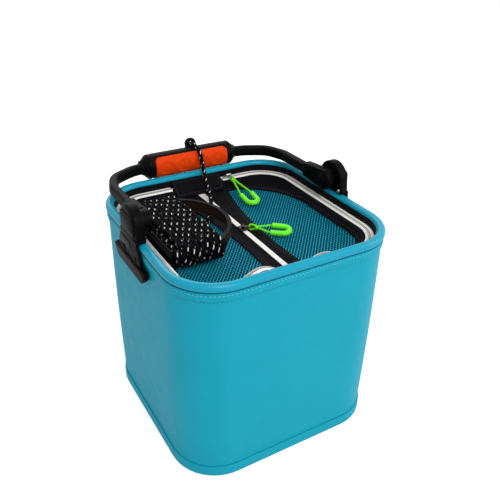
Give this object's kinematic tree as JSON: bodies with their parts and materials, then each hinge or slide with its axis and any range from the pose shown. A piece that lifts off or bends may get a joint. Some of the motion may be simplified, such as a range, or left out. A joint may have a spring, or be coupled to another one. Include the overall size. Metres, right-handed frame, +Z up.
{
  "type": "collapsible fishing bucket",
  "caption": "Square folding bucket of coated sheet with a zipped mesh lid, a swing handle with a soft grip, and a draw rope on a winder",
  "frame": {"origin": "middle of the underside of the base", "axes": "+Z up, +Y towards the side where the grip rests and the lid is hinged, +X to the right seen from the front"},
  "size_m": [0.249, 0.2609, 0.267],
  "materials": {
    "eva_blue": "smooth coated sheet",
    "piping_blue": "smooth coated piping",
    "core_plastic": "plain rod",
    "black_plastic": "moulded, finely textured",
    "grey_plastic": "moulded, finely textured",
    "orange_rubber": "soft, ribbed",
    "black_cloth": "plain weave",
    "mesh_blue": "open mesh",
    "zip_white": "zip tape and teeth",
    "steel": "polished",
    "lime_cord": "thin braid",
    "lime_rubber": "moulded, glossy",
    "rope_black": "braid with pale flecks"
  },
  "bodies": {
    "base": {"base_panel": "eva_blue", "base_weld_band": "eva_blue", "wall_shell": "eva_blue"},
    "rim": {"rim_core": "core_plastic", "rim_piping": "piping_blue", "hem_band": "eva_blue", "zip_tape_wall": "black_cloth", "zip_half_rim": "zip_white", "bracket_left": "black_plastic", "bracket_right": "black_plastic", "hub_cap_left": "black_plastic", "hub_cap_right": "black_plastic", "pivot_pin_left": "steel", "pivot_pin_right": "steel", "bracket_inlay_left": "grey_plastic", "bracket_inlay_right": "grey_plastic", "housing_rivets": "steel", "plate_rivets": "black_plastic"},
    "handle": {"arm_boot_left": "black_plastic", "arm_boot_right": "black_plastic", "handle_arm_left": "black_plastic", "handle_arm_right": "black_plastic", "grip_shell": "black_plastic", "grip_insert": "orange_rubber", "grip_screws": "steel", "rope_knot": "rope_black", "rope_free_run": "rope_black"},
    "lid": {"zip_half_lid": "zip_white", "lid_border": "black_cloth", "lid_edge": "black_cloth", "lid_mesh_left": "mesh_blue", "lid_mesh_right": "mesh_blue", "zip_chain_center": "zip_white", "lid_hinge_patch": "black_cloth", "rope_winder": "black_plastic", "rope_winding": "rope_black"},
    "slider_rim_body": {"slider_rim": "steel"},
    "pull_rim_body": {"pull_tab_rim": "steel", "pull_cord_rim": "lime_cord", "pull_grip_rim": "lime_rubber"},
    "slider_center_body": {"slider_center": "steel"},
    "pull_center_body": {"pull_tab_center": "steel", "pull_cord_center": "lime_cord", "pull_grip_center": "lime_rubber"}
  },
  "joints": [
    {"name": "rim_collapse", "type": "slide", "parent": "base", "child": "rim", "axis": [0, 0, -1], "range_m": [0, 0.165], "deforming": ["wall_shell"]},
    {"name": "handle_swing", "type": "hinge", "parent": "rim", "child": "handle", "pos_m": [0, 0, 0.2475], "axis": [1, 0, 0], "range_deg": [0, 165], "deforming": ["rope_free_run"]},
    {"name": "lid_open", "type": "hinge", "parent": "rim", "child": "lid", "pos_m": [0, 0.1084, 0.2258], "axis": [-1, 0, 0], "range_deg": [0, 75], "deforming": ["rope_free_run", "lid_edge", "zip_half_lid"]},
    {"name": "rim_zip_travel", "type": "slide", "parent": "lid", "child": "slider_rim_body", "axis": [1, 0, 0], "range_m": [0, 0.02]},
    {"name": "rim_pull_swing", "type": "hinge", "parent": "slider_rim_body", "child": "pull_rim_body", "pos_m": [0.041, 0.10375, 0.2262], "axis": [1, 0, 0], "range_deg": [-100, 0]},
    {"name": "center_zip_travel", "type": "slide", "parent": "lid", "child": "slider_center_body", "axis": [0, 1, 0], "range_m": [-0.045, 0.045]},
    {"name": "center_pull_swing", "type": "hinge", "parent": "slider_center_body", "child": "pull_center_body", "pos_m": [0, -0.004, 0.2171], "axis": [-0.6157, -0.788, 0], "range_deg": [0, 100]}
  ]
}
